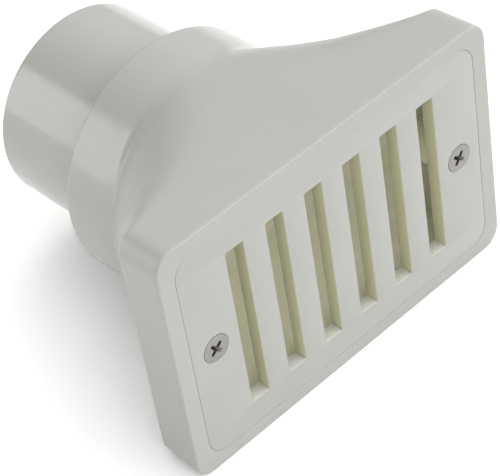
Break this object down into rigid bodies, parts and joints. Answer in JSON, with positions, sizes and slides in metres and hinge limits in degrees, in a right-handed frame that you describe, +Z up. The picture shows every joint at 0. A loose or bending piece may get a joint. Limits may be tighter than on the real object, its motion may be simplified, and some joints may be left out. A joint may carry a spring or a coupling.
{
  "type": "thru hull fitting",
  "caption": "Flush thru hull water fitting: rectangular rim with a removable slotted grille, and a fishtail hopper that narrows to a round pipe spigot.",
  "frame": {"origin": "centre of the outer face, where the grille is flush with the rim and the hull's skin", "axes": "+X along the long side of the face, +Y through the hull towards the pipe end, +Z up, along the short side"},
  "size_m": [0.1204, 0.1069, 0.0794],
  "materials": {
    "white_plastic": "off-white moulded plastic, satin, with faint mould texture",
    "pipe_plastic": "off-white drawn plastic pipe, soft gloss",
    "grille_plastic": "off-white moulded plastic, satin, slightly translucent, with a cream tint in the slots",
    "stainless": "turned stainless steel, dull",
    "brass": "knurled brass, dull"
  },
  "bodies": {
    "housing": {"housing": "white_plastic", "pipe_spigot": "pipe_plastic", "insert_left": "brass", "insert_right": "brass"},
    "grille": {"grille": "grille_plastic"},
    "screw_left": {"screw_left": "stainless"},
    "screw_right": {"screw_right": "stainless"}
  },
  "joints": [
    {"name": "grille_lift", "type": "slide", "parent": "housing", "child": "grille", "axis": [0, -1, 0], "range_m": [0, 0.03]},
    {"name": "screw_left_withdraw", "type": "slide", "parent": "grille", "child": "screw_left", "axis": [0, -1, 0], "range_m": [0, 0.013]},
    {"name": "screw_right_withdraw", "type": "slide", "parent": "grille", "child": "screw_right", "axis": [0, -1, 0], "range_m": [0, 0.013]}
  ]
}
